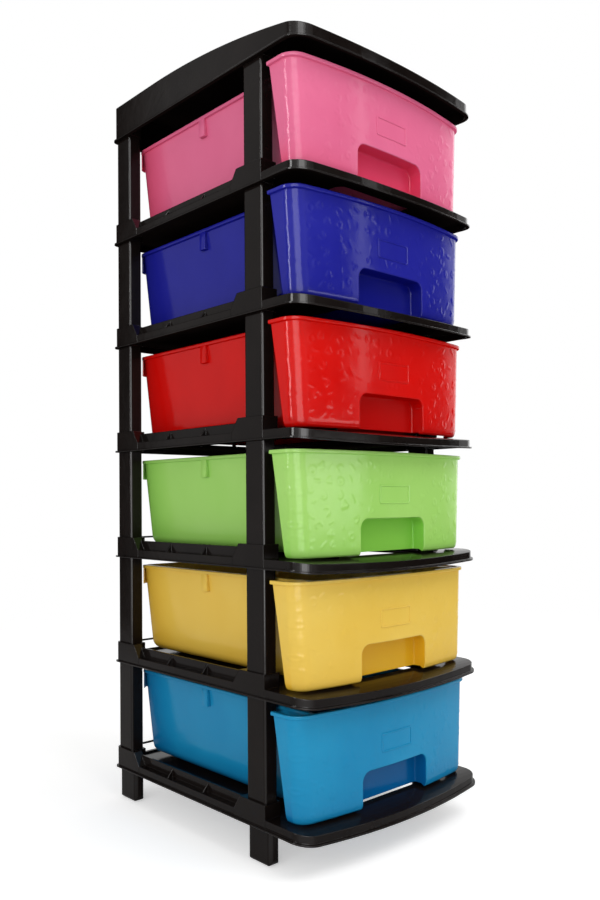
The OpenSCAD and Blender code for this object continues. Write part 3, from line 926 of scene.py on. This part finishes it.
def area_light(name, place, target, size, radiance, only):
    """Soft rectangular light; radiance is its brightness against the white background's 1.

    only is "diffuse" for a light that reflections don't show, or "glossy" for one that only they show."""
    light = bpy.data.lights.new(name, "AREA")
    light.shape = "RECTANGLE"
    light.size, light.size_y = size
    light.energy = radiance * math.pi * size[0] * size[1]
    obj = new_object(name, light)
    obj.location = place
    obj.rotation_euler = (Vector(target) - Vector(place)).to_track_quat("-Z", "Y").to_euler()
    obj.visible_glossy = only != "diffuse"
    obj.visible_diffuse = only != "glossy"


def panel(name, azimuth, low, high, width, radiance, only, distance=PANEL_DISTANCE):
    """Upright soft panel around the tower, between two heights."""
    middle = (low + high) / 2
    area_light(name, around(azimuth, distance, middle), (0, 0, middle), (width, high - low), radiance, only)


def dark_card(name, azimuth, low, high, width):
    """Upright dark card out of view, which only shows in reflections and gives them depth."""
    half = width / 2
    corners = [(-half, 0, low), (half, 0, low), (half, 0, high), (-half, 0, high)]
    obj = new_object(name, mesh_from(corners, [(0, 1, 2, 3)], name))
    obj.location = around(azimuth, CARD_DISTANCE, 0)
    obj.rotation_euler.z = -math.radians(azimuth)
    mat = bpy.data.materials.new(name)
    n = Nodes(mat)
    n.surface(n.add("BsdfDiffuse", None, Color=CARD_PAINT).outputs["BSDF"])
    obj.data.materials.append(mat)
    for ray in ("camera", "diffuse", "transmission", "shadow"):
        setattr(obj, "visible_" + ray, False)


white_world()
white_floor()
# Panels and cards: azimuth in degrees, lower and upper height and width, and a panel's radiance
# What lights the tower
panel("panel_right", 106, 0.1, 2.4, 1.1, 1.2, only="diffuse")
panel("panel_middle", 140, 0.3, 2.6, 0.6, 2.0, only="diffuse")
panel("panel_left", -115, 0.1, 2.2, 2.2, 1.9, only="diffuse")
area_light("panel_top", (0.2, -1.6, 2.6), (0, 0, 0.5), (1.8, 1.2), 3.2, only="diffuse")
# What shows in it: pale bands on the bowed fronts, their left corners and the edges of the posts
panel("shine_corner", -138, -0.2, 2.4, 1.7, 6, only="glossy")
panel("shine_edge", -80, 0.4, 2.2, 0.30, 22, only="glossy")
panel("shine_middle", 147, 0.7, 1.6, 0.10, 4.0, only="glossy", distance=1.4)
panel("shine_low", 156, 0.3, 0.6, 0.75, 6, only="glossy", distance=2.0)
panel("shine_right", 100, 0.3, 2.6, 1.2, 2.2, only="glossy")
panel("shine_side", -48, -0.4, 3.4, 1.3, 0.72, only="glossy")
dark_card("card_side", -52, -0.4, 4.0, 1.7)
dark_card("card_right", 130, -0.4, 4.0, 3.2)
dark_card("card_back", -20, -0.4, 4.0, 1.9)

# ---------------------------------------------------------------- camera, as fitted to the photograph
CAMERA_PLACE = Vector((-786.9, -868.6, 424.8)) * MM
CAMERA_YAW = math.radians(42.586)
CAMERA_PITCH = math.radians(0.811)
CAMERA_ROLL = math.radians(-0.414)
FOCAL_PX = 840.3
AXIS_PX = (299.6, 487.3)
IMAGE_PX = (600, 900)
SENSOR_MM = 36.0

level_reach = math.cos(CAMERA_PITCH)
forward = Vector((
    math.sin(CAMERA_YAW) * level_reach,
    math.cos(CAMERA_YAW) * level_reach,
    math.sin(CAMERA_PITCH),
))
level_right = Vector((math.cos(CAMERA_YAW), -math.sin(CAMERA_YAW), 0))
level_up = level_right.cross(forward)
right = level_right * math.cos(CAMERA_ROLL) + level_up * math.sin(CAMERA_ROLL)
up = level_up * math.cos(CAMERA_ROLL) - level_right * math.sin(CAMERA_ROLL)
camera = bpy.data.cameras.new("camera")
camera.sensor_fit = "VERTICAL"
camera.sensor_height = SENSOR_MM
camera.lens = FOCAL_PX * SENSOR_MM / IMAGE_PX[1]
camera.shift_x = (IMAGE_PX[0] / 2 - AXIS_PX[0]) / IMAGE_PX[1]
camera.shift_y = (AXIS_PX[1] - IMAGE_PX[1] / 2) / IMAGE_PX[1]
camera_obj = new_object("camera", camera)
turn = Matrix((right, up, -forward)).transposed().to_4x4()
camera_obj.matrix_world = Matrix.Translation(CAMERA_PLACE) @ turn
scene.camera = camera_obj

scene.view_settings.view_transform = "Standard"
